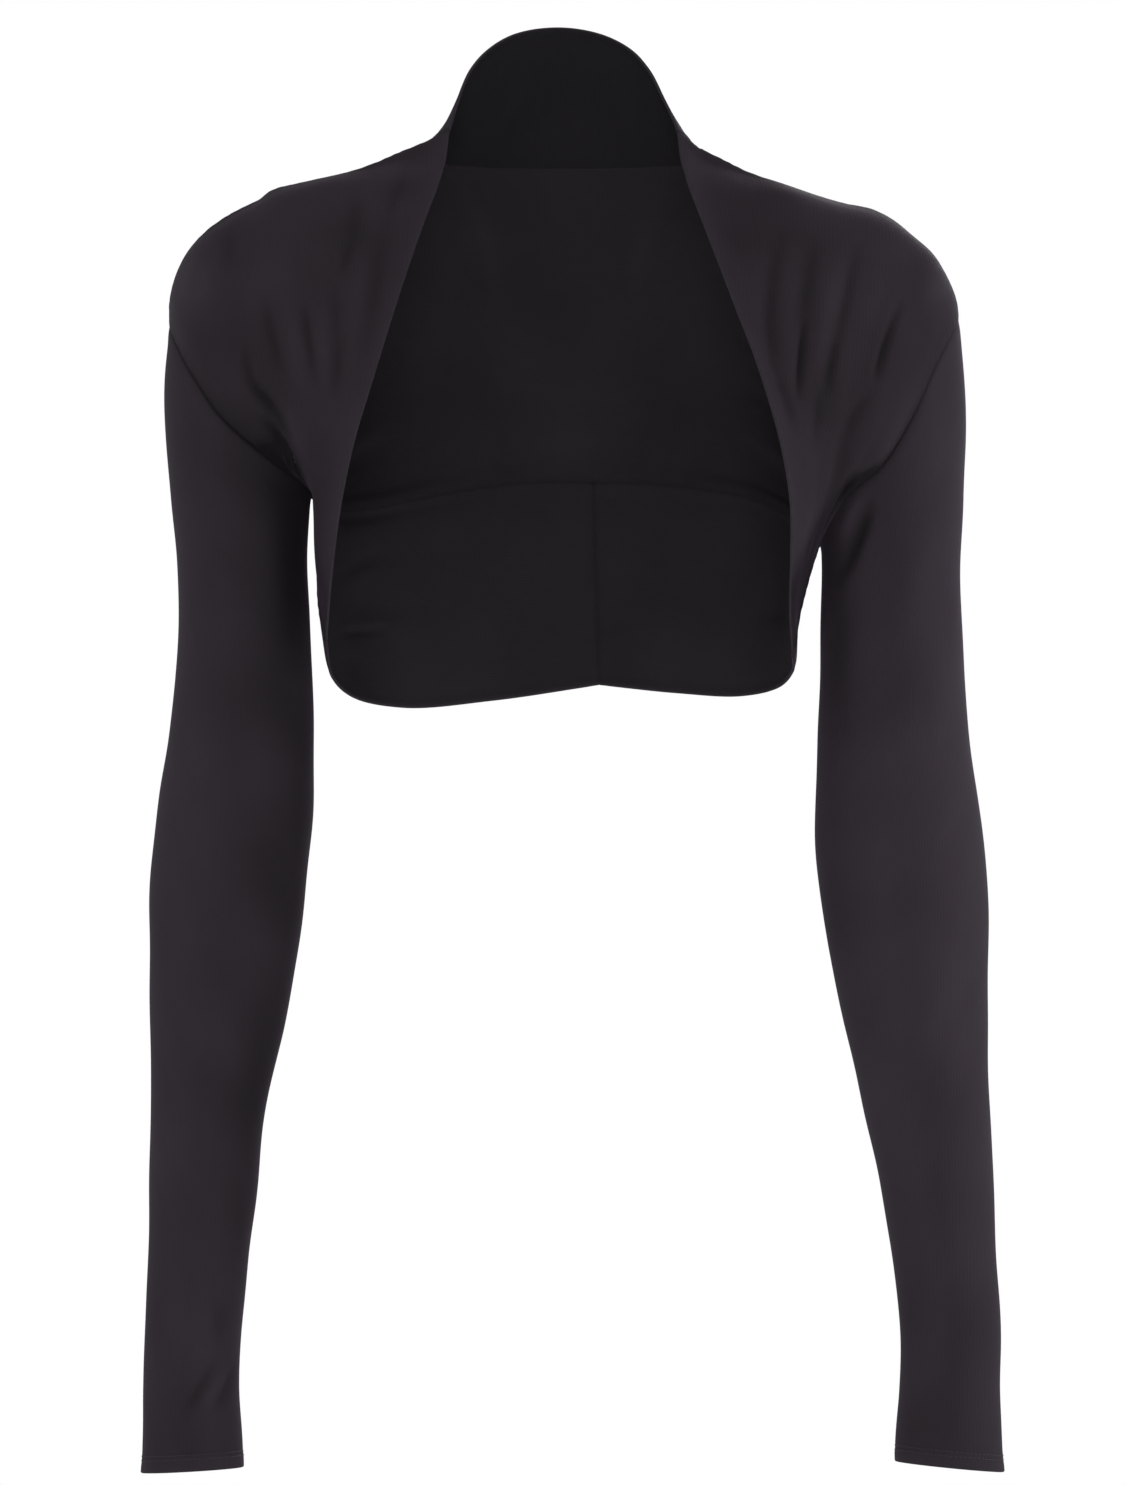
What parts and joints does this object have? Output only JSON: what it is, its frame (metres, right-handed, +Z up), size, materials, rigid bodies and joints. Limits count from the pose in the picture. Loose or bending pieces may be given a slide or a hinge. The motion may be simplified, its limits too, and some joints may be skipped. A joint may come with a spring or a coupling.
{
  "type": "knitted shrug",
  "caption": "Long-sleeved open shrug in fine knit, with gathered shoulders, a standing back collar and a short back band, filled out as if worn.",
  "frame": {"origin": "the base of the wearer's neck, midway between the shoulders, where the garment is held up", "axes": "+Z up, -Y the open front, -X the wearer's right side"},
  "size_m": [0.4653, 0.1879, 0.7992],
  "materials": {
    "jersey": "matt fine machine knit with a faint sheen"
  },
  "bodies": {
    "root": {"back_panel": "jersey", "front_right": "jersey", "front_left": "jersey", "collar": "jersey", "band_right": "jersey", "band_left": "jersey", "sleeve_right": "jersey", "sleeve_left": "jersey"}
  },
  "joints": []
}
